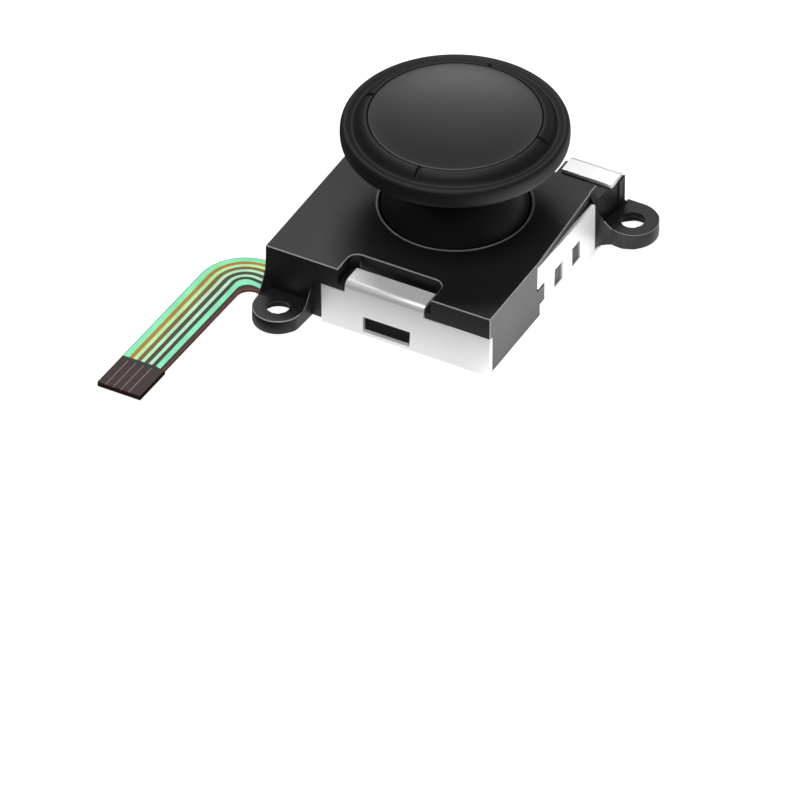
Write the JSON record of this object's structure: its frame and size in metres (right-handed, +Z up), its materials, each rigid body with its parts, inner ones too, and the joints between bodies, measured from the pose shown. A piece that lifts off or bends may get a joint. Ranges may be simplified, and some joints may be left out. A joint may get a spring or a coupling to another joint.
{
  "type": "thumb stick module",
  "caption": "Slim thumb stick module for a hand-held game controller, with a round grip cap, dust dome, ear-mounted case and a flat flexible tail.",
  "frame": {"origin": "on the stick axis at rest, at the underside of the metal frame", "axes": "+Z up along the stick, -Y towards the front wall with the small window, -X towards the flexible tail"},
  "size_m": [0.0249, 0.032, 0.0118],
  "materials": {
    "case_plastic": "satin moulded",
    "sheet_metal": "bright satin",
    "flex_film": "amber coverlay",
    "conductor": "covered copper",
    "contact": "plated",
    "stiffener": "plain",
    "carbon": "printed carbon",
    "spring_metal": "bright",
    "guide_plastic": "natural acetal",
    "slider_plastic": "natural acetal",
    "film": "clear amber",
    "stick_plastic": "satin moulded",
    "cap_rubber": "soft matte",
    "cap_top": "fine satin"
  },
  "bodies": {
    "base": {"case": "case_plastic", "metal_frame": "sheet_metal", "flex_circuit": "flex_film", "flex_conductors": "conductor", "tail_contacts": "contact", "tail_stiffener": "stiffener", "carbon_tracks": "carbon", "switch_dome": "spring_metal", "dome_film": "film", "slider_guide": "guide_plastic"},
    "press": {"press_carrier": "slider_plastic", "spring_seat": "spring_metal"},
    "gimbal": {"gimbal_ring": "guide_plastic"},
    "stick": {"lever": "stick_plastic", "return_spring": "spring_metal", "dust_dome": "stick_plastic", "cap_core": "stick_plastic", "cap_ring": "cap_rubber", "cap_disc": "cap_top"},
    "x_slide": {"slider_x": "slider_plastic", "wiper_x": "contact"},
    "y_slide": {"slider_y": "slider_plastic", "wiper_y": "contact"}
  },
  "joints": [
    {"name": "press_in", "type": "slide", "parent": "base", "child": "press", "axis": [0, 0, -1], "range_m": [0, 0.00025], "stiffness_N_per_m": 300, "springref_m": -0.0005, "deforming": ["return_spring", "switch_dome", "dome_film"]},
    {"name": "tilt_x", "type": "hinge", "parent": "press", "child": "gimbal", "pos_m": [0, 0, 0.0031], "axis": [1, 0, 0], "range_deg": [-18, 18], "stiffness_Nm_per_rad": 0.01, "deforming": ["return_spring"]},
    {"name": "tilt_y", "type": "hinge", "parent": "gimbal", "child": "stick", "pos_m": [0, 0, 0.0031], "axis": [0, 1, 0], "range_deg": [-18, 18], "stiffness_Nm_per_rad": 0.01, "deforming": ["return_spring"]},
    {"name": "x_travel", "type": "slide", "parent": "base", "child": "x_slide", "axis": [1, 0, 0], "range_m": [-0.00052, 0.00052]},
    {"name": "y_travel", "type": "slide", "parent": "base", "child": "y_slide", "axis": [0, 1, 0], "range_m": [-0.00052, 0.00052]}
  ],
  "couplings": [
    {"joint": "x_travel", "follows": "tilt_y", "m_per_rad": -0.001623},
    {"joint": "y_travel", "follows": "tilt_x", "m_per_rad": 0.001623}
  ]
}
